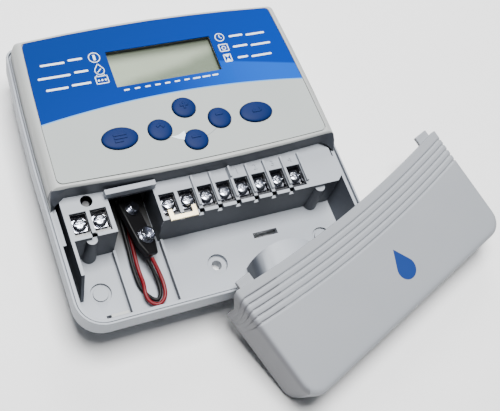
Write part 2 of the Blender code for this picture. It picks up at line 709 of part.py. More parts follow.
def build():
    for old in list(bpy.data.objects):
        bpy.data.objects.remove(old)
    looks = {
        "housing": material("warm_grey_plastic", (0.56, 0.57, 0.56), 0.55),
        "tray": material("cool_grey_plastic", (0.50, 0.53, 0.56), 0.55),
        "cover": material("cover_plastic", (0.45, 0.47, 0.49), 0.5),
        "label": material("printed_film", (0.02, 0.22, 0.55), 0.35),
        "window": material("clear_window", (0.8, 0.85, 0.85), 0.05),
        "lcd": material("lcd_glass", (0.36, 0.40, 0.33), 0.2),
        "rubber": material("blue_rubber", (0.02, 0.08, 0.30), 0.6),
        "black": material("black_plastic", (0.02, 0.02, 0.025), 0.5),
        "nickel": material("nickel_steel", (0.75, 0.76, 0.78), 0.25, 1.0),
        "brass": material("brass_strip", (0.78, 0.68, 0.42), 0.3, 1.0),
        "pcb": material("green_board", (0.03, 0.22, 0.08), 0.4),
        "pink": material("elastomer_strip", (0.7, 0.45, 0.45), 0.6),
        "sleeve": material("capacitor_sleeve", (0.03, 0.05, 0.12), 0.4),
        "red": material("red_lead", (0.42, 0.01, 0.02), 0.4),
    }
    rear_case(looks["tray"])
    front_housing(looks["housing"])
    label_overlay(looks["label"])
    display(looks)
    keys(looks["rubber"])
    terminal_deck(looks["tray"])
    terminal_block("power_terminal_block", power_xs(), looks["black"])
    terminal_block("station_terminal_block", station_xs(), looks["black"])
    terminals(looks["nickel"])
    boards(looks)
    reset(looks)
    case_screws(looks["nickel"])
    battery_strap(looks)
    lead("battery_lead_red", 1, looks["red"])
    lead("battery_lead_black", -1, looks["black"])
    sensor_jumper(looks["brass"])
    terminal_cover(looks["cover"])


build()
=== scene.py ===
"""The looks of the irrigation controller, built round its CAD frame.

Lengths are in millimetres unless a name says otherwise, and are turned into metres as meshes are made.
"""
import math

import bmesh
import bpy
from mathutils import Matrix, Vector


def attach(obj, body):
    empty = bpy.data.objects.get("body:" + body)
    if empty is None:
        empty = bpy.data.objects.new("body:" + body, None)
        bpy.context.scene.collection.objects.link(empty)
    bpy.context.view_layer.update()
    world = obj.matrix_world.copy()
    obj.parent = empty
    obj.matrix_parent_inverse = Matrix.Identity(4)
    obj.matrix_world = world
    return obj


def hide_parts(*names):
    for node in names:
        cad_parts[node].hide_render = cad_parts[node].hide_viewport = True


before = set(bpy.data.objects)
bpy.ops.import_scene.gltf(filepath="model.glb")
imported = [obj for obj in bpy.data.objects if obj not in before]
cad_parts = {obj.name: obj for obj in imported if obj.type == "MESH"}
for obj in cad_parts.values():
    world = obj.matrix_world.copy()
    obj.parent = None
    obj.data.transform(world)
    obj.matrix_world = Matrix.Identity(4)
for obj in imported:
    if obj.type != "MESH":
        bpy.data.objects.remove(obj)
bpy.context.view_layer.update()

MM = 0.001

# ---- measures shared with the case --------------------------------------------------------------
FACE_Z = 32.0
DECK_Z = 24.0
PITCH = 7.97
POWER_X = -51.85
STATION_X = -16.1
TERMINAL_Y = -21.4
FIRST_STATION = 4              # ways of the station block before the first numbered one
TERMINALS = {"power_%d" % (i + 1): POWER_X + PITCH * i for i in range(2)}
TERMINALS.update({"station_%d" % (i + 1): STATION_X + PITCH * i for i in range(8)})
KEYS = {
    "button_program": (-28.7, 6.2, 7.2, 4.7),
    "button_previous": (-12.0, 6.6, 4.8, 4.6),
    "button_plus": (0.8, 14.5, 4.8, 4.5),
    "button_next": (13.8, 6.9, 4.7, 4.6),
    "button_minus": (1.0, -0.7, 4.8, 4.5),
    "button_manual": (30.0, 6.4, 7.0, 4.6),
}
KEY_EDGE_Z = 32.4
KEY_TOP_Z = 33.5
FLANGE_Z = (28.4, 29.4)
FLANGE_WIDTH = 0.9
STROKE_HEIGHT = 0.22
STROKE_ROOT = 0.4
ARC_CENTRE = (1.2, 15.8)       # the printed arc that runs from key to key
ARC_RADIUS = 16.3
LATCH_BAR = ((-47.6, -40.4), (-55.6, -54.3), (5.6, 7.4))       # lies in the slot of the tray's floor

# ---- terminal cover -----------------------------------------------------------------------------
COVER_HALF_WIDTH = 61.9
COVER_HEIGHT = 48.2
COVER_CORNER = 8.0
COVER_SHOULDER = 2.5
COVER_WALL = 1.6
COVER_BOW = 3.7 / 60.0 ** 2
COVER_ORIGIN = Vector((52.3, -45.0, 29.4))
COVER_ACROSS = Vector((0.923, 0.385, 0.003)).normalized()
COVER_UP = Vector((-0.375, 0.897, 0.235))
COVER_UP = (COVER_UP - COVER_ACROSS * COVER_ACROSS.dot(COVER_UP)).normalized()
COVER_GROOVES = (4.2, 7.0, 9.8, 12.6, 15.4)
GROOVE_DEPTH = 0.65
GROOVE_WIDTH = 0.36
RIBBED_HEIGHT = 17.5
TAB_PLACES = (-54.5, 54.5)
TAB_HALF_WIDTH = 3.5
TAB_REACH = (-1.0, 6.2)
TAB_DEPTHS = (-3.0, -1.4)
DROP_PLACE = (7.0, -33.2)
DROP_RADIUS = 4.6
DROP_TIP = 9.6

# ---- the way to the light, and the places whose faces away from it get painted shade -------------
LIGHT_WAY = (0.25, 0.43, 0.87)
# tones of the painted shade
TRAY_SHADE = (62, 66, 74)
KNOCK_OUT_SHADE = (88, 91, 96)
TRAY_PAINTED_SHADE = (
    # painted shade on the walls of the wiring compartment
    (((-60.6, 60.6), (-49.0, -7.0), (6.0, 24.1)), TRAY_SHADE),
    (((-49.0, 49.0), (-60.3, -7.0), (6.0, 24.1)), TRAY_SHADE),
    (((-58.9, 58.9), (-58.7, -7.0), (6.0, 24.1)), TRAY_SHADE),
    # painted shade in the grooves round the knock-outs
    (((-53.0, -44.4), (-49.1, -40.5), (5.0, 5.95)), KNOCK_OUT_SHADE),
    (((44.4, 53.0), (-48.7, -40.1), (5.0, 5.95)), KNOCK_OUT_SHADE),
)
HOUSING_PAINTED_SHADE = (
    # painted shade on the housing's front wall above the deck
    (((-61.0, 61.0), (-17.0, -9.0), (22.0, 31.0)), TRAY_SHADE),
    # painted shade, nearly black, on the walls round the display's window
    (((-23.1, 23.4), (28.7, 46.6), (28.0, 31.95)), (40, 42, 40)),
)
# painted shade on the cover's left end
COVER_PAINTED_SHADE = ((((-9.0, 13.0), (-108.0, -62.0), (0.0, 33.0)), (108, 109, 114)),)
# the battery bay, where painted shadow deepens to black towards its closed end
BATTERY_BAY = ((-38.8, -20.7), (-40.0, -7.0), (6.0, 22.8))
BAY_SHADOW_FROM_Y = -22.0

# ---- battery leads ------------------------------------------------------------------------------
LEAD_RADIUS = 0.8
LEAD_SPREAD = 0.95             # from the route to the middle of each lead
LEAD_POINTS = 90
LEAD_ROUTE = [
    (-27.2, -37.4, 11.3), (-25.9, -43.0, 9.6), (-25.4, -48.0, 8.7), (-26.1, -52.2, 8.5),
    (-28.4, -54.5, 8.5), (-31.0, -53.4, 8.5), (-32.4, -50.0, 8.4), (-32.9, -45.0, 8.3),
    (-33.0, -38.0, 8.2), (-32.4, -30.0, 8.2), (-31.9, -21.0, 8.6), (-31.7, -13.0, 9.6),
    (-31.6, -7.6, 10.8),
]
CROSSOVER = (0.28, 0.50)       # share of the route over which the two leads cross


# ---- camera and light, in metres ----------------------------------------------------------------
CAMERA_PLACE = Vector((-0.1209, -0.1573, 0.3446))
CAMERA_RIGHT = Vector((0.905, -0.344, 0.249))
CAMERA_UP = Vector((0.21173, 0.87440, 0.43658))
CAMERA_AHEAD = Vector((0.36788, 0.34255, -0.86448))
LENS = 66.64
SENSOR_WIDTH = 36.0
SKY_COLOUR = (0.93, 0.96, 1.0, 1.0)
SKY_STRENGTH = 0.07


def set_camera():
    data = bpy.data.cameras.new("camera")
    data.sensor_width = SENSOR_WIDTH
    data.lens = LENS
    data.clip_start = 0.01
    made = bpy.data.objects.new("camera", data)
    turn = Matrix((CAMERA_RIGHT, CAMERA_UP, -CAMERA_AHEAD)).transposed().to_4x4()
    made.matrix_world = Matrix.Translation(CAMERA_PLACE) @ turn
    bpy.context.scene.collection.objects.link(made)
    bpy.context.scene.camera = made


def area_light(name, place, aim, size, power):
    data = bpy.data.lights.new(name, 'AREA')
    data.shape = 'SQUARE'
    data.size = size
    data.energy = power
    made = bpy.data.objects.new(name, data)
    made.location = place
    made.rotation_euler = (Vector(aim) - Vector(place)).to_track_quat('-Z', 'Y').to_euler()
    bpy.context.scene.collection.objects.link(made)


def set_lights():
    world = bpy.data.worlds.new("studio")
    world.use_nodes = True
    back = world.node_tree.nodes["Background"]
    back.inputs["Color"].default_value = SKY_COLOUR
    back.inputs["Strength"].default_value = SKY_STRENGTH
    bpy.context.scene.world = world
    area_light("rear_light", (0.25, 0.75, 0.60), (0.0, 0.0, 0.0), 0.4, 6.0)
    area_light("top_light", (0.0, 0.12, 1.0), (0.0, 0.0, 0.0), 0.5, 27.0)


# ---- materials ----------------------------------------------------------------------------------
def ink(red, green, blue):
    """A screen colour, 0 to 255, as linear light."""
    def linear(value):
        share = value / 255.0
        return share / 12.92 if share <= 0.04045 else ((share + 0.055) / 1.055) ** 2.4
    return (linear(red), linear(green), linear(blue), 1.0)


def node(tree, kind, inputs, **settings):
    """A shader node; an input is a number, a colour or another node's output."""
    made = tree.nodes.new(kind)
    for key, value in settings.items():
        setattr(made, key, value)
    for key, value in inputs.items():
        if isinstance(value, bpy.types.NodeSocket):
            tree.links.new(value, made.inputs[key])
        else:
            made.inputs[key].default_value = value
    return made


def calculate(tree, operation, *values):
    made = node(tree, "ShaderNodeMath", dict(enumerate(values)), operation=operation)
    return made.outputs["Value"]


def blend(tree, share, first, second):
    made = node(tree, "ShaderNodeMix", {0: share, 6: first, 7: second}, data_type='RGBA')
    return made.outputs[2]


def ramp(tree, value, low, high):
    """Goes smoothly from 0 to 1 as value goes from low to high."""
    made = node(tree, "ShaderNodeMapRange", {"Value": value, "From Min": low, "From Max": high},
                interpolation_type='SMOOTHSTEP')
    return made.outputs["Result"]


def start_material(name, roughness, metallic, coat, shine=0.5):
    made = bpy.data.materials.new(name)
    made.use_nodes = True
    shader = made.node_tree.nodes["Principled BSDF"]
    shader.inputs["Roughness"].default_value = roughness
    shader.inputs["Metallic"].default_value = metallic
    shader.inputs["Coat Weight"].default_value = coat
    shader.inputs["Specular IOR Level"].default_value = shine
    return made, made.node_tree, shader


def millimetres(tree, place):
    """The x and y of a place, in millimetres."""
    scaled = node(tree, "ShaderNodeVectorMath", {0: place, 1: (1000.0, 1000.0, 1000.0)},
                  operation='MULTIPLY')
    axes = node(tree, "ShaderNodeSeparateXYZ", {0: scaled.outputs["Vector"]})
    return axes.outputs["X"], axes.outputs["Y"]


def inside_box(tree, axes, box, share):
    """Keeps a share inside a box and makes it 0 outside."""
    for axis, (low, high) in zip("XYZ", box):
        middle = (low + high) / 2 * MM
        half = (high - low) / 2 * MM
        within = calculate(tree, 'COMPARE', axes.outputs[axis], middle, half)
        share = calculate(tree, 'MULTIPLY', share, within)
    return share


def grained(tree, shader, place, scale, strength):
    """A fine moulded grain over softly rounded edges."""
    grain = node(tree, "ShaderNodeTexNoise", {"Vector": place, "Scale": scale, "Detail": 2.0})
    edges = node(tree, "ShaderNodeBevel", {"Radius": 0.25 * MM}, samples=4)
    bump = node(tree, "ShaderNodeBump", {"Height": grain.outputs["Fac"], "Strength": strength,
                                         "Distance": 0.1 * MM, "Normal": edges.outputs["Normal"]})
    tree.links.new(bump.outputs["Normal"], shader.inputs["Normal"])


def shaded(tree, place, colour, shade_boxes):
    """Paints shade on the faces inside some recesses that look away from the light, giving them a darker
    tone.
    """
    axes = node(tree, "ShaderNodeSeparateXYZ", {0: place})
    normal = node(tree, "ShaderNodeNewGeometry", {}).outputs["Normal"]
    facing = node(tree, "ShaderNodeVectorMath", {0: normal, 1: LIGHT_WAY}, operation='DOT_PRODUCT')
    away = ramp(tree, facing.outputs["Value"], 0.82, 0.15)
    for recess, tone in shade_boxes:
        # each box's faces that look away from the light are mixed towards its painted shade tone
        colour = blend(tree, inside_box(tree, axes, recess, away), colour, ink(*tone))
    return colour


def paint_bay_shadow(tree, place, colour):
    """Paints shadow in the battery bay, fading it to black towards its closed end."""
    axes = node(tree, "ShaderNodeSeparateXYZ", {0: place})
    depth = ramp(tree, axes.outputs["Y"], BATTERY_BAY[1][0] * MM, BAY_SHADOW_FROM_Y * MM)
    return blend(tree, inside_box(tree, axes, BATTERY_BAY, depth), colour, ink(10, 10, 12))


def surface(name, light, dark, roughness, metallic=0.0, coat=0.0, shine=0.5, grain=2600.0, strength=0.12,
            shade_boxes=(), bay_shadow=False):
    """A moulded or plated surface whose tone drifts a little from place to place, with painted shade in the
    given boxes and, when asked, painted shadow in the battery bay.
    """
    made, tree, shader = start_material(name, roughness, metallic, coat, shine)
    place = node(tree, "ShaderNodeTexCoord", {}).outputs["Object"]
    drift = node(tree, "ShaderNodeTexNoise", {"Vector": place, "Scale": 45.0, "Detail": 3.0})
    colour = shaded(tree, place, blend(tree, drift.outputs["Fac"], dark, light), shade_boxes)
    # painted shadow deep in the battery bay
    if bay_shadow:
        colour = paint_bay_shadow(tree, place, colour)
    tree.links.new(colour, shader.inputs["Base Color"])
    grained(tree, shader, place, grain, strength)
    return made


def printed_film():
    """Blue print above a shallow arc, pale grey below it, and a thin line from key to key."""
    made, tree, shader = start_material("printed_film", 0.5, 0.0, 0.0, 0.03)
    place = node(tree, "ShaderNodeTexCoord", {}).outputs["Object"]
    x, y = millimetres(tree, place)
    square = calculate(tree, 'MULTIPLY', x, x)
    arc = calculate(tree, 'MULTIPLY_ADD', square, -4.3 / 56.7 ** 2, 22.3)
    above = calculate(tree, 'SUBTRACT', y, arc)

    # a painted sheen makes the blue a little brighter towards the lower right; it is also much brighter in a
    # wedge there
    sheen = calculate(tree, 'MULTIPLY_ADD', y, -1.6, x)
    blue = blend(tree, ramp(tree, sheen, -150.0, 25.0), ink(4, 40, 108), ink(0, 46, 132))
    sweep = calculate(tree, 'MULTIPLY_ADD', x, 0.22, y)
    low = calculate(tree, 'MULTIPLY', ramp(tree, sweep, 39.0, 38.0), ramp(tree, x, -15.0, 50.0))
    blue = blend(tree, low, blue, ink(0, 74, 172))

    tone = node(tree, "ShaderNodeTexNoise", {"Vector": place, "Scale": 30.0, "Detail": 2.0})
    grey = blend(tree, tone.outputs["Fac"], ink(158, 164, 163), ink(165, 170, 168))
    from_x = calculate(tree, 'SUBTRACT', x, ARC_CENTRE[0])
    from_y = calculate(tree, 'SUBTRACT', y, ARC_CENTRE[1])
    across = calculate(tree, 'MULTIPLY', from_x, from_x)
    radius = calculate(tree, 'SQRT', calculate(tree, 'MULTIPLY_ADD', from_y, from_y, across))
    ring = calculate(tree, 'COMPARE', radius, ARC_RADIUS, 0.12)
    ring = calculate(tree, 'MULTIPLY', ring, calculate(tree, 'LESS_THAN', y, 4.2))
    grey = blend(tree, ring, grey, ink(120, 127, 130))

    film = blend(tree, ramp(tree, above, -0.05, 0.05), grey, blue)
    line = calculate(tree, 'COMPARE', above, 0.0, 0.24)
    film = blend(tree, line, film, ink(96, 150, 200))
    tree.links.new(film, shader.inputs["Base Color"])
    grained(tree, shader, place, 3200.0, 0.06)
    return made


def display_glass():
    """The grey-green panel of the display, with a painted dark reflection along its foot and a painted
    shadow along its top.
    """
    made, tree, shader = start_material("display_glass", 0.35, 0.0, 0.0)
    place = node(tree, "ShaderNodeTexCoord", {}).outputs["Object"]
    x, y = millimetres(tree, place)
    drift = node(tree, "ShaderNodeTexNoise", {"Vector": place, "Scale": 60.0, "Detail": 2.0})
    wave = calculate(tree, 'MULTIPLY_ADD', drift.outputs["Fac"], 5.0, y)
    height = calculate(tree, 'MULTIPLY_ADD', x, -0.24, wave)
    # painted reflection: the panel is darker towards its foot
    lower = blend(tree, ramp(tree, height, 34.0, 41.0), ink(104, 114, 96), ink(156, 164, 146))
    # painted shadow of the window's recess wall along the top
    top = blend(tree, ramp(tree, y, 40.0, 46.5), lower, ink(84, 90, 76))
    tree.links.new(top, shader.inputs["Base Color"])
    grained(tree, shader, place, 4000.0, 0.03)
    return made


def clear_window():
    """A thin clear sheet with a faint reflection."""
    made = bpy.data.materials.new("clear_window")
    made.use_nodes = True
    tree = made.node_tree
    tree.nodes.remove(tree.nodes["Principled BSDF"])
    place = node(tree, "ShaderNodeTexCoord", {}).outputs["Object"]
    drift = node(tree, "ShaderNodeTexNoise", {"Vector": place, "Scale": 50.0})
    share = calculate(tree, 'MULTIPLY_ADD', drift.outputs["Fac"], 0.03, 0.03)
    clear = node(tree, "ShaderNodeBsdfTransparent", {"Color": (0.97, 0.98, 0.97, 1.0)})
    shine = node(tree, "ShaderNodeBsdfGlossy", {"Roughness": 0.05})
    both = node(tree, "ShaderNodeMixShader", {0: share, 1: clear.outputs[0], 2: shine.outputs[0]})
    tree.links.new(both.outputs[0], tree.nodes["Material Output"].inputs["Surface"])
    return made


def make_materials():
    return {
        "housing": surface("housing_plastic", ink(168, 170, 168), ink(161, 164, 163), 0.5,
                           shade_boxes=HOUSING_PAINTED_SHADE),
        "tray": surface("tray_plastic", ink(156, 161, 168), ink(149, 154, 162), 0.5,
                        shade_boxes=TRAY_PAINTED_SHADE, bay_shadow=True),
        "cover": surface("cover_plastic", ink(146, 149, 154), ink(139, 143, 149), 0.5,
                         shade_boxes=COVER_PAINTED_SHADE),
        "film": printed_film(),
        "white": surface("white_print", ink(226, 238, 246), ink(218, 232, 242), 0.5),
        "navy": surface("navy_print", ink(16, 52, 118), ink(12, 46, 108), 0.4),
        "window": clear_window(),
        "lcd": display_glass(),
        "rubber": surface("key_rubber", ink(2, 30, 84), ink(1, 25, 72), 0.55, shine=0.12, grain=3600.0),
        "mat": surface("mat_rubber", ink(96, 100, 106), ink(88, 92, 98), 0.6),
        "black": surface("black_plastic", ink(34, 34, 38), ink(26, 26, 30), 0.35),
        "block": surface("block_plastic", ink(24, 26, 34), ink(16, 17, 24), 0.25, coat=0.3),
        "vinyl": surface("strap_vinyl", ink(14, 13, 15), ink(8, 8, 9), 0.4, shine=0.3),
        "nickel": surface("nickel_steel", (0.62, 0.64, 0.72, 1.0), (0.44, 0.46, 0.54, 1.0), 0.2, 1.0),
        "brass": surface("tinned_brass", (0.80, 0.70, 0.46, 1.0), (0.60, 0.50, 0.30, 1.0), 0.35, 1.0),
        "board": surface("board_green", ink(28, 92, 52), ink(20, 78, 42), 0.35),
        "pink": surface("elastomer", ink(190, 140, 138), ink(176, 126, 124), 0.6),
        "sleeve": surface("capacitor_sleeve", ink(34, 44, 74), ink(26, 36, 64), 0.3),
        "red": surface("lead_red", ink(112, 3, 18), ink(92, 2, 14), 0.4, shine=0.3),
        "dark": surface("lead_black", ink(12, 12, 13), ink(7, 7, 8), 0.45, shine=0.2),
    }


# ---- mesh helpers -------------------------------------------------------------------------------
def finish_piece(name, mesh, look, body, stands_for=()):
    """Turns a mesh in millimetres into a shown piece that rides on a CAD body."""
    bmesh.ops.recalc_face_normals(mesh, faces=mesh.faces)
    bmesh.ops.scale(mesh, vec=(MM, MM, MM), verts=mesh.verts)
    data = bpy.data.meshes.new(name)
    mesh.to_mesh(data)
    mesh.free()
    data.materials.append(look)
    made = bpy.data.objects.new(name, data)
    bpy.context.scene.collection.objects.link(made)
    return show(made, body, stands_for)


def show(made, body, stands_for):
    if stands_for:
        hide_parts(*stands_for)
    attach(made, body)
    return made


def smooth(made, angle=40.0):
    made.data.shade_smooth()
    made.data.set_sharp_from_angle(angle=math.radians(angle))
    return made


def add_modifier(made, name, kind, **settings):
    modifier = made.modifiers.new(name, kind)
    for key, value in settings.items():
        setattr(modifier, key, value)
    return modifier


def oval(x, y, a, b, steps):
    angles = [2 * math.pi * i / steps for i in range(steps)]
    return [(x + a * math.cos(t), y + b * math.sin(t)) for t in angles]


def rectangle(x0, x1, y0, y1):
    return [(x0, y0), (x1, y0), (x1, y1), (x0, y1)]


def bridge(mesh, low, high):
    """Joins two closed rows of points, one above the other."""
    for i in range(len(low)):
        j = (i + 1) % len(low)
        mesh.faces.new((low[i], low[j], high[j], high[i]))


def add_loft(mesh, rows):
    """Joins closed rows of points into a solid."""
    for low, high in zip(rows, rows[1:]):
        bridge(mesh, low, high)
    mesh.faces.new(rows[0][::-1])
    mesh.faces.new(rows[-1])


def upright(x, y, z):
    return (x, y, z)


def add_prism(mesh, outline, low, high, place=upright):
    """Adds a solid with a flat outline between two heights; place turns x, y, height into a point."""
    foot = [mesh.verts.new(place(x, y, low)) for x, y in outline]
    head = [mesh.verts.new(place(x, y, high)) for x, y in outline]
    mesh.faces.new(foot[::-1])
    mesh.faces.new(head)
    bridge(mesh, foot, head)


def add_ring(mesh, x, y, outer, inner, low, high, steps=32):
    """Adds a flat ring."""
    loops = []
    for radius, z in ((outer, low), (outer, high), (inner, high), (inner, low)):
        loops.append([mesh.verts.new((px, py, z)) for px, py in oval(x, y, radius, radius, steps)])
    for first, second in zip(loops, loops[1:] + loops[:1]):
        bridge(mesh, first, second)


# ---- pieces taken from the CAD ------------------------------------------------------------------
def refine(name, look, width, segments=2, body="root"):
    """The CAD piece with its flat faces merged and its edges rounded off."""
    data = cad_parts[name].data.copy()
    mesh = bmesh.new()
    mesh.from_mesh(data)
    bmesh.ops.remove_doubles(mesh, verts=mesh.verts, dist=1e-6)
    bmesh.ops.dissolve_limit(mesh, angle_limit=math.radians(1.0), verts=mesh.verts, edges=mesh.edges)
    mesh.to_mesh(data)
    mesh.free()
    data.materials.clear()
    data.materials.append(look)
    made = bpy.data.objects.new(name + "_shown", data)
    bpy.context.scene.collection.objects.link(made)
    smooth(made, 30.0)
    add_modifier(made, "rounding", 'BEVEL', width=width * MM, segments=segments, limit_method='ANGLE',
                 angle_limit=math.radians(35.0), harden_normals=True)
    return show(made, body, [name])


def refine_all(looks):
    # each piece of the fixed body: its material, its slot and the width of its rounded edges
    root_pieces = {
        "rear_case": ("tray", "tray_plastic", 0.25),
        "front_housing": ("housing", "housing_plastic", 0.25),
        "label_overlay": ("film", "printed_film", 0.04),
        "terminal_deck": ("tray", "tray_plastic", 0.15),
        "display_window": ("window", "clear_window", 0.04),
        "lcd_panel": ("lcd", "lcd_glass", 0.1),
        "lcd_frame": ("black", "black_plastic", 0.15),
        "zebra_connector": ("pink", "elastomer", 0.1),
        "circuit_board": ("board", "board_green", 0.1),
        "terminal_board": ("board", "board_green", 0.1),
        "keypad_mat": ("mat", "key_rubber", 0.1),
        "microcontroller": ("black", "black_plastic", 0.15),
        "board_header": ("black", "black_plastic", 0.2),
        "bridge_rectifier": ("black", "black_plastic", 0.2),
        "capacitor": ("sleeve", "capacitor_sleeve", 0.3),
        "reset_switch": ("black", "black_plastic", 0.2),
        "power_terminal_block": ("block", "black_plastic", 0.15),
        "station_terminal_block": ("block", "black_plastic", 0.15),
        "battery_strap": ("vinyl", "strap_vinyl", 0.45),
        "battery_stud": ("nickel", "nickel_steel", 0.12),
        "battery_socket": ("nickel", "nickel_steel", 0.12),
        "sensor_jumper": ("brass", "brass_strip", 0.15),
    }
    for i in range(1, 5):
        root_pieces["triac_%d" % i] = ("black", "black_plastic", 0.2)
        root_pieces["case_screw_%d" % i] = ("nickel", "nickel_steel", 0.12)
    for name, (look, slot, width) in root_pieces.items():
        refine(name, looks[look], width)
    refine("reset_button", looks["black"], 0.15, body="reset_button")
    for name in TERMINALS:
        refine("clamp_" + name, looks["nickel"], 0.12, body="clamp_" + name)


# ---- terminal screws ----------------------------------------------------------------------------
SCREW_PROFILE = [(1.4, 14.0), (1.4, 21.5), (2.35, 21.5), (2.6, 21.75), (2.6, 22.1), (2.4, 22.5),
                 (1.9, 22.85), (1.2, 22.97)]
SCREW_STEPS = 32
# half length along x, half length along y and floor of the slot, and of the bar that makes it a cross
SCREW_RECESSES = ((2.1, 0.33, 22.2), (0.33, 1.3, 22.1))
RECESS_TOP_Z = 24.0


def terminal_screws(looks):
    """A domed head with a cross and slot recess, on a plain shank."""
    for name, x in TERMINALS.items():
        mesh = bmesh.new()
        rows = []
        for radius, z in SCREW_PROFILE:
            outline = oval(x, TERMINAL_Y, radius, radius, SCREW_STEPS)
            rows.append([mesh.verts.new((px, py, z)) for px, py in outline])
        add_loft(mesh, rows)
        made = finish_piece("screw_" + name + "_shown", mesh, looks["nickel"], "screw_" + name,
                            ["screw_" + name])
        for half_x, half_y, floor_z in SCREW_RECESSES:
            tool_mesh = bmesh.new()
            outline = rectangle(x - half_x, x + half_x, TERMINAL_Y - half_y, TERMINAL_Y + half_y)
            add_prism(tool_mesh, outline, floor_z, RECESS_TOP_Z)
            cut_from(made, tool_mesh)
        smooth(made, 35.0)
        add_modifier(made, "rounding", 'BEVEL', width=0.06 * MM, segments=2, limit_method='ANGLE',
                     angle_limit=math.radians(40.0))


def cut_from(made, mesh):
    """Cuts a mesh in millimetres out of a piece."""
    bmesh.ops.recalc_face_normals(mesh, faces=mesh.faces)
    bmesh.ops.scale(mesh, vec=(MM, MM, MM), verts=mesh.verts)
    data = bpy.data.meshes.new("tool")
    mesh.to_mesh(data)
    mesh.free()
    tool = bpy.data.objects.new("tool", data)
    bpy.context.scene.collection.objects.link(tool)
    step = add_modifier(made, "step", 'BOOLEAN', operation='DIFFERENCE', solver='EXACT', object=tool)
    graph = bpy.context.evaluated_depsgraph_get()
    made.data = bpy.data.meshes.new_from_object(made.evaluated_get(graph))
    made.modifiers.remove(step)
    bpy.data.objects.remove(tool)


# ---- keys ---------------------------------------------------------------------------------------
def dome_z(key, x, y):
    """The height of a key's dome, which falls off slowly at first and steeply at the rim."""
    centre_x, centre_y, a, b = KEYS[key]
    share = min(1.0, math.hypot((x - centre_x) / a, (y - centre_y) / b))
    return KEY_EDGE_Z + (KEY_TOP_Z - STROKE_HEIGHT - KEY_EDGE_Z) * (1.0 - share ** 2.4) ** 0.55


def add_stroke(mesh, key, start, end, width=0.9):
    """A raised stroke that follows the dome, between two points measured from the key's centre."""
    centre = Vector(KEYS[key][:2])
    first, last = centre + Vector(start), centre + Vector(end)
    along = (last - first).normalized()
    across = Vector((-along.y, along.x)) * width / 2
    steps = 8
    rows = []
    for i in range(steps + 1):
        point = first.lerp(last, i / steps)
        left, right = point + across, point - across
        left_z, right_z = dome_z(key, *left), dome_z(key, *right)
        corners = [(*left, left_z - STROKE_ROOT), (*left, left_z + STROKE_HEIGHT),
                   (*right, right_z + STROKE_HEIGHT), (*right, right_z - STROKE_ROOT)]
        rows.append([mesh.verts.new(corner) for corner in corners])
    add_loft(mesh, rows)


KEY_STROKES = {
    "button_program": [((-2.6, 1.1), (2.6, 1.1)), ((-2.6, -0.3), (2.6, -0.3)),
                       ((-2.6, -1.7), (0.8, -1.7))],
    "button_previous": [((-1.2, 0.9), (0.2, 2.0)), ((0.2, 2.0), (1.6, 0.4))],
    "button_plus": [((-1.7, 0.6), (1.7, 0.6)), ((0.0, -1.0), (0.0, 2.1))],
    "button_next": [((-1.6, 1.2), (1.6, 1.2))],
    "button_minus": [((-1.9, 0.8), (1.9, 0.8))],
    "button_manual": [((-1.8, -0.2), (1.8, -0.2)), ((1.8, -0.2), (1.8, 1.4)),
                      ((-1.8, -0.2), (-0.8, 0.7))],
}
KEY_RINGS = (1.0, 0.985, 0.955, 0.91, 0.84, 0.74, 0.6, 0.42, 0.22)       # shares of the key's radii
KEY_STEPS = 56


def keys(looks):
    """Domed keys with generic strokes, each on the flange that holds it in the housing."""
    for key, (x, y, a, b) in KEYS.items():
        mesh = bmesh.new()
        flange = oval(x, y, a + FLANGE_WIDTH, b + FLANGE_WIDTH, KEY_STEPS)
        outlines = [(flange, FLANGE_Z[0]), (flange, FLANGE_Z[1]), (oval(x, y, a, b, KEY_STEPS), FLANGE_Z[1])]
        rows = [[mesh.verts.new((px, py, z)) for px, py in outline] for outline, z in outlines]
        for share in KEY_RINGS:
            ring = oval(x, y, a * share, b * share, KEY_STEPS)
            rows.append([mesh.verts.new((px, py, dome_z(key, px, py))) for px, py in ring])
        add_loft(mesh, rows)
        for start, end in KEY_STROKES[key]:
            add_stroke(mesh, key, start, end)
        smooth(finish_piece(key + "_shown", mesh, looks["rubber"], key, [key]), 50.0)


# ---- print on the face --------------------------------------------------------------------------
PRINT_HEIGHTS = (0.01, 0.04)   # foot and top of the print above the face that it is on
PRINT_LOW = FACE_Z + PRINT_HEIGHTS[0]
PRINT_HIGH = FACE_Z + PRINT_HEIGHTS[1]


def add_bar(mesh, start, end, width):
    """A printed line between two points."""
    first, last = Vector(start), Vector(end)
    across = Vector((first.y - last.y, last.x - first.x)).normalized() * width / 2
    outline = [first - across, last - across, last + across, first + across]
    add_prism(mesh, [tuple(p) for p in outline], PRINT_LOW, PRINT_HIGH)


def add_pill(mesh, x0, x1, y, height):
    """A printed bar with round ends, standing for a word."""
    radius = height / 2
    points = []
    for centre, start in ((x1 - radius, -90), (x0 + radius, 90)):
        for i in range(9):
            angle = math.radians(start + 180 * i / 8)
            points.append((centre + radius * math.cos(angle), y + radius * math.sin(angle)))
    add_prism(mesh, points, PRINT_LOW, PRINT_HIGH)


def add_frame(mesh, x0, x1, y0, y1, width):
    corners = rectangle(x0, x1, y0, y1)
    for start, end in zip(corners, corners[1:] + corners[:1]):
        add_bar(mesh, start, end, width)


def drop_outline(x, y, radius, tip, steps=20):
    """A water drop: a round foot that narrows to a point at the top."""
    points = []
    for i in range(steps + 1):
        angle = math.radians(150 + 240 * i / steps)
        points.append((x + radius * math.cos(angle), y + radius * math.sin(angle)))
    return points + [(x, y + tip)]


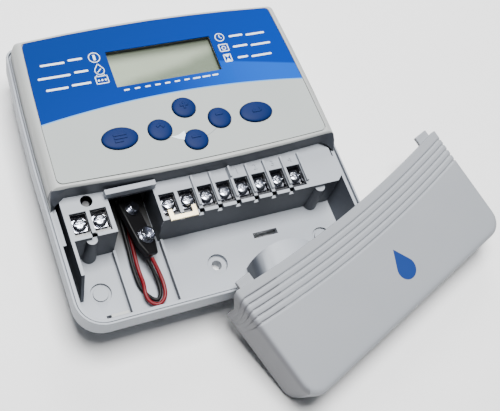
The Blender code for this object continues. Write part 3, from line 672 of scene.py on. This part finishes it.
# bars that stand for words: left and right end, height on the face
WORDS = [(-50.0, -40.0, 44.4), (-38.6, -32.6, 45.0), (-52.4, -39.2, 38.4), (-37.6, -31.8, 39.0),
         (-50.6, -41.6, 32.8), (-40.2, -32.2, 33.3), (31.6, 38.0, 44.4), (39.4, 48.2, 43.9),
         (31.6, 38.4, 39.0), (39.8, 49.0, 38.4), (31.8, 36.6, 33.4), (38.0, 47.6, 32.9)]
WORD_HEIGHT = 0.95
SHORT_WORD_HEIGHT = 0.7
SHORT_WORD_HALF = 1.2
SHORT_WORD_MIDDLES = (-19.3, -14.8, -10.4, -6.1, -1.9, 2.4, 6.6)
SHORT_WORD_Y = 27.2
LAST_WORDS = ((9.2, 12.6), (13.4, 17.0), (17.8, 20.6))
LAST_WORDS_Y = 27.1


def left_pictograms(mesh):
    """A dial, a water drop and a calendar."""
    add_ring(mesh, -27.8, 44.5, 2.45, 2.1, PRINT_LOW, PRINT_HIGH)
    add_bar(mesh, (-27.8, 43.2), (-27.8, 45.8), 1.0)
    drop = drop_outline(-27.4, 38.1, 1.9, 3.2)
    for start, end in zip(drop, drop[1:] + drop[:1]):
        add_bar(mesh, start, end, 0.35)
    add_bar(mesh, (-28.4, 37.4), (-26.6, 38.9), 0.4)
    add_frame(mesh, -30.1, -25.2, 32.0, 35.4, 0.4)
    for x in (-29.0, -27.6, -26.2):
        add_bar(mesh, (x - 0.4, 33.5), (x + 0.4, 33.5), 0.8)
    add_bar(mesh, (-29.2, 35.4), (-29.2, 36.2), 0.4)
    add_bar(mesh, (-26.1, 35.4), (-26.1, 36.2), 0.4)


def right_pictograms(mesh):
    """A clock, a ring in a frame and an hourglass."""
    add_ring(mesh, 27.4, 44.7, 2.1, 1.75, PRINT_LOW, PRINT_HIGH)
    add_bar(mesh, (27.4, 46.0), (27.4, 44.6), 0.35)
    add_bar(mesh, (27.4, 44.6), (28.3, 44.2), 0.35)
    add_frame(mesh, 25.5, 29.4, 37.6, 41.0, 0.45)
    add_ring(mesh, 27.45, 39.2, 1.0, 0.65, PRINT_LOW, PRINT_HIGH, 20)
    add_frame(mesh, 26.0, 29.0, 32.3, 35.8, 0.45)
    add_prism(mesh, [(26.3, 32.5), (28.7, 32.5), (27.5, 34.1)], PRINT_LOW, PRINT_HIGH)
    add_prism(mesh, [(28.7, 35.6), (26.3, 35.6), (27.5, 34.3)], PRINT_LOW, PRINT_HIGH)


def face_print(looks):
    """The white print on the blue zone of the label."""
    mesh = bmesh.new()
    left_pictograms(mesh)
    right_pictograms(mesh)
    for x0, x1, y in WORDS:
        add_pill(mesh, x0, x1, y, WORD_HEIGHT)
    for x in SHORT_WORD_MIDDLES:
        add_pill(mesh, x - SHORT_WORD_HALF, x + SHORT_WORD_HALF, SHORT_WORD_Y, SHORT_WORD_HEIGHT)
    for x0, x1 in LAST_WORDS:
        add_pill(mesh, x0, x1, LAST_WORDS_Y, SHORT_WORD_HEIGHT)
    finish_piece("face_print", mesh, looks["white"], "root")


CRESCENT_ENDS = (-8.9, -2.5)
CRESCENT_TOP = [(-2.5, 4.3), (-3.5, 3.75), (-4.5, 3.3), (-5.5, 2.95), (-6.5, 2.75), (-7.5, 2.75),
                (-8.3, 2.85)]


def crescent(looks):
    """A white crescent between the left and lower keys, on the printed arc that joins them."""
    mesh = bmesh.new()
    left, right = CRESCENT_ENDS
    lower = []
    for i in range(13):
        x = left + (right - left) * i / 12
        lower.append((x, ARC_CENTRE[1] - math.sqrt(ARC_RADIUS ** 2 - (x - ARC_CENTRE[0]) ** 2)))
    add_prism(mesh, lower + CRESCENT_TOP, PRINT_LOW, PRINT_HIGH)
    finish_piece("crescent_print", mesh, looks["white"], "root")


# ---- small details of the compartment -----------------------------------------------------------
NUMBER_SIZE = 3.6
NUMBER_RELIEF = 0.25
NUMBER_Y = -15.4


def deck_numbers(looks):
    """The station numbers 1 to 4, raised from the deck behind their terminals."""
    for i in range(4):
        text = bpy.data.curves.new("digit", 'FONT')
        text.body = str(i + 1)
        text.size = NUMBER_SIZE * MM
        text.extrude = NUMBER_RELIEF * MM
        text.align_x = 'CENTER'
        source = bpy.data.objects.new("digit", text)
        bpy.context.scene.collection.objects.link(source)
        graph = bpy.context.evaluated_depsgraph_get()
        data = bpy.data.meshes.new_from_object(source.evaluated_get(graph))
        bpy.data.objects.remove(source)
        x = STATION_X + PITCH * (i + FIRST_STATION)
        data.transform(Matrix.Translation((x * MM, NUMBER_Y * MM, DECK_Z * MM)))
        data.materials.clear()
        data.materials.append(looks["tray"])
        made = bpy.data.objects.new("station_number_%d" % (i + 1), data)
        bpy.context.scene.collection.objects.link(made)
        show(made, "root", ())


def latch_bar(looks):
    """The pale bar that lies in most of the slot at the lower left of the compartment."""
    mesh = bmesh.new()
    across, along, heights = LATCH_BAR
    add_prism(mesh, rectangle(*across, *along), *heights)
    finish_piece("latch_bar", mesh, looks["housing"], "root")


# ---- terminal cover -----------------------------------------------------------------------------
def cover_point(u, v, n):
    """The place of a point at u across the cover, v up it and n out of its face."""
    out = COVER_ACROSS.cross(COVER_UP)
    return COVER_ORIGIN + COVER_ACROSS * u + COVER_UP * v + out * n


def groove_depth(below_edge):
    """How deep the ribbed zone is at a distance below the cover's upper edge."""
    return sum(GROOVE_DEPTH * math.exp(-((below_edge - g) / GROOVE_WIDTH) ** 2) for g in COVER_GROOVES)


def cover_columns():
    """Places across the face, closer together over the round lower corners, with the foot at each."""
    half = COVER_HALF_WIDTH - COVER_SHOULDER
    corner = COVER_CORNER - COVER_SHOULDER
    foot = -COVER_HEIGHT + COVER_SHOULDER
    straight = half - corner
    right = [(straight * i / 16, foot) for i in range(17)]
    for i in range(1, 9):
        angle = math.radians(-90 + 90 * i / 8)
        right.append((straight + corner * math.cos(angle), foot + corner * (1 + math.sin(angle))))
    return [(-u, v) for u, v in right[:0:-1]] + right


def outward(u, v):
    """The way out of the cover's outline at a point of its face's edge."""
    corner = COVER_CORNER - COVER_SHOULDER
    centre_u = math.copysign(COVER_HALF_WIDTH - COVER_SHOULDER - corner, u)
    centre_v = -COVER_HEIGHT + COVER_SHOULDER + corner
    side = abs(u) > abs(centre_u)
    low = v < centre_v
    if side and low:
        return Vector((u - centre_u, v - centre_v)).normalized()
    return Vector((math.copysign(1.0, u), 0.0)) if side else Vector((0.0, -1.0))


def cover_rows():
    """Shares of the way down the face: fine steps over the ribs and wide ones below them."""
    height = COVER_HEIGHT - COVER_SHOULDER
    ribbed = [RIBBED_HEIGHT * i / 84 for i in range(85)]
    plain = [RIBBED_HEIGHT + (height - RIBBED_HEIGHT) * i / 14 for i in range(1, 15)]
    return [drop / height for drop in ribbed + plain]


# inset from the outline, distance out of the face, drop of the upper ends, share of the groove
COVER_WALL_RINGS = [
    (1.6, -0.12, 0.0, 1.0), (0.9, -0.5, -0.2, 1.0), (0.35, -1.1, -0.6, 1.0), (0.05, -1.9, -1.1, 1.0),
    (0.0, -2.7, -1.6, 0.9), (0.05, -5.0, -3.2, 0.5), (0.1, -9.0, -5.5, 0.1), (0.3, -18.0, -6.5, 0.0),
]
DROP_REACH = 16.0              # distance below the upper edge over which that drop fades out


def cover_sheet():
    """The cover's outer skin: the ribbed face, then the walls on three sides of it, ring by ring."""
    columns = cover_columns()
    shares = cover_rows()
    mesh = bmesh.new()
    grid, flat = [], []
    for share in shares:
        row, places = [], []
        for u, foot in columns:
            top = COVER_BOW * u * u
            v = top + (foot - top) * share
            row.append(mesh.verts.new(cover_point(u, v, -groove_depth(top - v))))
            places.append((u, v))
        grid.append(row)
        flat.append(places)
    for upper, lower in zip(grid, grid[1:]):
        for i in range(len(columns) - 1):
            mesh.faces.new((upper[i], lower[i], lower[i + 1], upper[i + 1]))

    last = len(columns) - 1
    edge = [(r, 0) for r in range(len(shares))] + [(len(shares) - 1, c) for c in range(1, last)]
    edge += [(r, last) for r in range(len(shares) - 1, -1, -1)]
    before = [grid[r][c] for r, c in edge]
    for inset, n, drop, share in COVER_WALL_RINGS:
        loop = []
        for r, c in edge:
            u, v = flat[r][c]
            below_edge = COVER_BOW * u * u - v
            way = outward(u, v)
            reach = COVER_SHOULDER - inset - share * groove_depth(below_edge)
            fall = drop * max(0.0, 1.0 - below_edge / DROP_REACH)
            loop.append(mesh.verts.new(cover_point(u + way.x * reach, v + way.y * reach + fall, n)))
        for i in range(len(edge) - 1):
            mesh.faces.new((before[i], loop[i], loop[i + 1], before[i + 1]))
        before = loop
    return mesh


def terminal_cover(looks):
    """The skin made into a wall, and the two tabs at its upper corners."""
    shell = finish_piece("terminal_cover_shown", cover_sheet(), looks["cover"], "terminal_cover",
                         ["terminal_cover"])
    face_normal = shell.data.polygons[40].normal
    if face_normal.dot(COVER_ACROSS.cross(COVER_UP)) < 0:
        shell.data.flip_normals()
    smooth(shell, 60.0)
    add_modifier(shell, "wall", 'SOLIDIFY', thickness=COVER_WALL * MM, offset=-1.0)
    add_modifier(shell, "rounding", 'BEVEL', width=0.2 * MM, segments=2, limit_method='ANGLE',
                 angle_limit=math.radians(60.0))

    tabs = bmesh.new()
    for u in TAB_PLACES:
        corners = rectangle(u - TAB_HALF_WIDTH, u + TAB_HALF_WIDTH, *TAB_REACH)
        add_prism(tabs, corners, *TAB_DEPTHS, place=cover_point)
    made = finish_piece("cover_tabs", tabs, looks["cover"], "terminal_cover")
    add_modifier(made, "rounding", 'BEVEL', width=0.3 * MM, segments=3, limit_method='ANGLE')


def cover_mark(looks):
    """A plain water drop printed on the cover's face."""
    mesh = bmesh.new()
    outline = drop_outline(*DROP_PLACE, DROP_RADIUS, DROP_TIP)
    add_prism(mesh, outline, *PRINT_HEIGHTS, place=cover_point)
    finish_piece("cover_mark", mesh, looks["navy"], "terminal_cover")


# ---- battery leads ------------------------------------------------------------------------------
def smooth_route(points, count):
    """Evenly spread points on a Catmull-Rom curve through the given points."""
    route = [Vector(p) for p in points]
    route = [2 * route[0] - route[1]] + route + [2 * route[-1] - route[-2]]
    fine = []
    for a, b, c, d in zip(route, route[1:], route[2:], route[3:]):
        for i in range(20):
            t = i / 20
            fine.append(0.5 * (2 * b + (c - a) * t + (2 * a - 5 * b + 4 * c - d) * t * t
                               + (3 * b - a - 3 * c + d) * t ** 3))
    fine.append(route[-2])
    lengths = [0.0]
    for a, b in zip(fine, fine[1:]):
        lengths.append(lengths[-1] + (b - a).length)
    spread = []
    for i in range(count):
        want = lengths[-1] * i / (count - 1)
        k = max(j for j in range(len(lengths)) if lengths[j] <= want + 1e-9)
        k = min(k, len(fine) - 2)
        share = (want - lengths[k]) / (lengths[k + 1] - lengths[k])
        spread.append(fine[k].lerp(fine[k + 1], share))
    return spread


def lead(name, side, look):
    """One of the two leads, from under the deck round to the strap, crossing the other on the way."""
    route = smooth_route(LEAD_ROUTE, LEAD_POINTS)
    points = []
    for i, point in enumerate(route):
        before, after = route[max(i - 1, 0)], route[min(i + 1, len(route) - 1)]
        along = (after - before).normalized()
        across = along.cross(Vector((0, 0, 1))).normalized()
        up = across.cross(along)
        share = i / (len(route) - 1)
        turn = min(max((share - CROSSOVER[0]) / (CROSSOVER[1] - CROSSOVER[0]), 0.0), 1.0)
        angle = math.pi * turn * turn * (3 - 2 * turn)
        shift = side * LEAD_SPREAD * (-math.cos(angle) * across + math.sin(angle) * up)
        points.append((point + shift) * MM)
    points.reverse()
    curve = bpy.data.curves.new(name + "_shown", 'CURVE')
    curve.dimensions = '3D'
    curve.bevel_depth = LEAD_RADIUS * MM
    curve.bevel_resolution = 5
    curve.use_fill_caps = True
    line = curve.splines.new('POLY')
    line.points.add(len(points) - 1)
    for target, point in zip(line.points, points):
        target.co = (*point, 1.0)
    line.use_smooth = True
    curve.materials.append(look)
    made = bpy.data.objects.new(name + "_shown", curve)
    bpy.context.scene.collection.objects.link(made)
    show(made, "root", [name])


# ---- floor, in metres ---------------------------------------------------------------------------
FLOOR_REACH = 2.0
FLOOR_LEVEL = -0.0002
FLOOR_LIGHT = (0.93, 0.93, 0.93, 1.0)
FLOOR_DARK = (0.9, 0.9, 0.9, 1.0)


def floor():
    mesh = bmesh.new()
    corners = rectangle(-FLOOR_REACH, FLOOR_REACH, -FLOOR_REACH, FLOOR_REACH)
    mesh.faces.new([mesh.verts.new((x, y, FLOOR_LEVEL)) for x, y in corners])
    data = bpy.data.meshes.new("floor")
    mesh.to_mesh(data)
    mesh.free()
    data.materials.append(surface("white_table", FLOOR_LIGHT, FLOOR_DARK, 0.7, strength=0.02))
    made = bpy.data.objects.new("floor", data)
    bpy.context.scene.collection.objects.link(made)


# ---- the whole scene ----------------------------------------------------------------------------
def build():
    set_camera()
    set_lights()
    looks = make_materials()
    refine_all(looks)
    lead("battery_lead_red", 1, looks["red"])
    lead("battery_lead_black", -1, looks["dark"])
    terminal_screws(looks)
    keys(looks)
    face_print(looks)
    crescent(looks)
    deck_numbers(looks)
    latch_bar(looks)
    terminal_cover(looks)
    cover_mark(looks)
    floor()


build()
bpy.context.view_layer.update()
